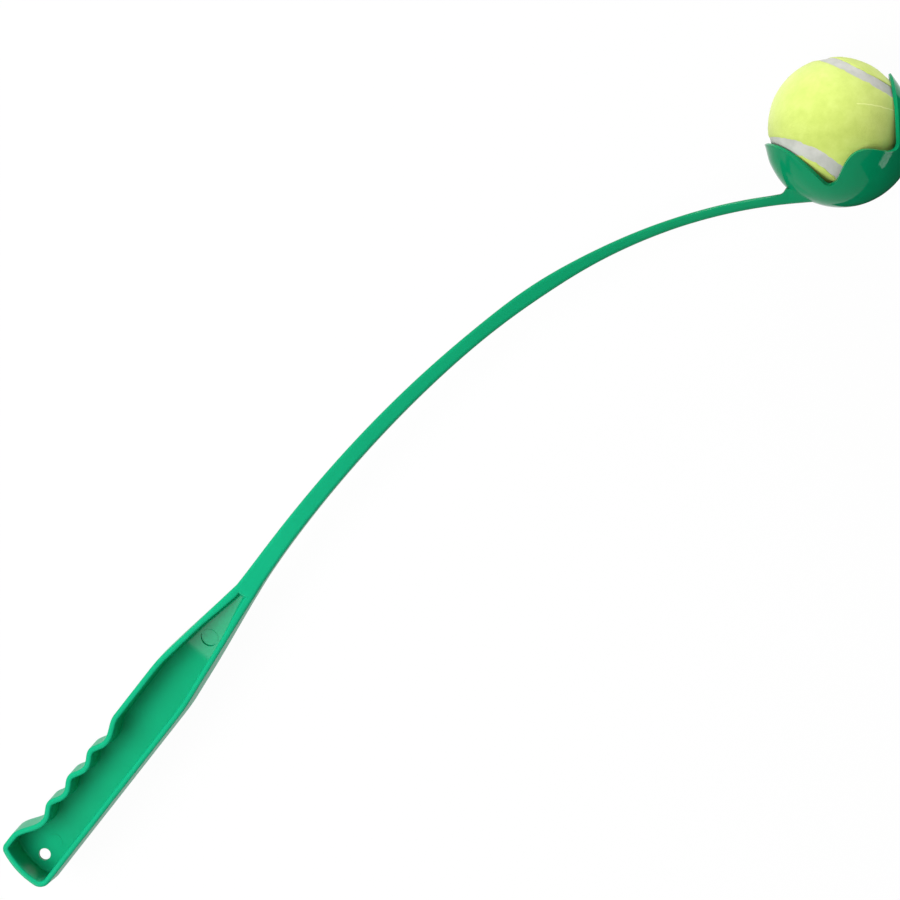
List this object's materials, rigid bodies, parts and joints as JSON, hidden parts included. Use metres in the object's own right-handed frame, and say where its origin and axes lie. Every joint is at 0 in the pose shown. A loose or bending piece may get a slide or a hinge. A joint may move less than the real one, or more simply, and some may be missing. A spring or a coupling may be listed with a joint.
{
  "type": "ball launcher",
  "caption": "One-piece plastic throwing arm with a channelled finger-grip handle, a long bowed arm and a petalled cup that holds a tennis ball.",
  "frame": {"origin": "on the handle's flat back, on the handle's centreline, 60 mm from the butt end", "axes": "+X along the handle towards the arm and the cup, +Y towards the finger grips, +Z out of the handle's open side; the object lies on its side"},
  "size_m": [0.5675, 0.141, 0.0662],
  "materials": {
    "green_plastic": "satin moulded plastic, softly translucent",
    "yellow_felt": "napped felt",
    "grey_seam": "matt",
    "core_rubber": "matt"
  },
  "bodies": {
    "launcher": {"launcher_moulding": "green_plastic"},
    "ball": {"ball_core_half_a": "core_rubber", "ball_core_half_b": "core_rubber", "ball_felt_panel_a": "yellow_felt", "ball_felt_panel_b": "yellow_felt", "ball_seam": "grey_seam"}
  },
  "joints": [
    {"name": "ball_release", "type": "slide", "parent": "launcher", "child": "ball", "axis": [0.3859, 0.9225, 0], "range_m": [0, 0.08]}
  ]
}
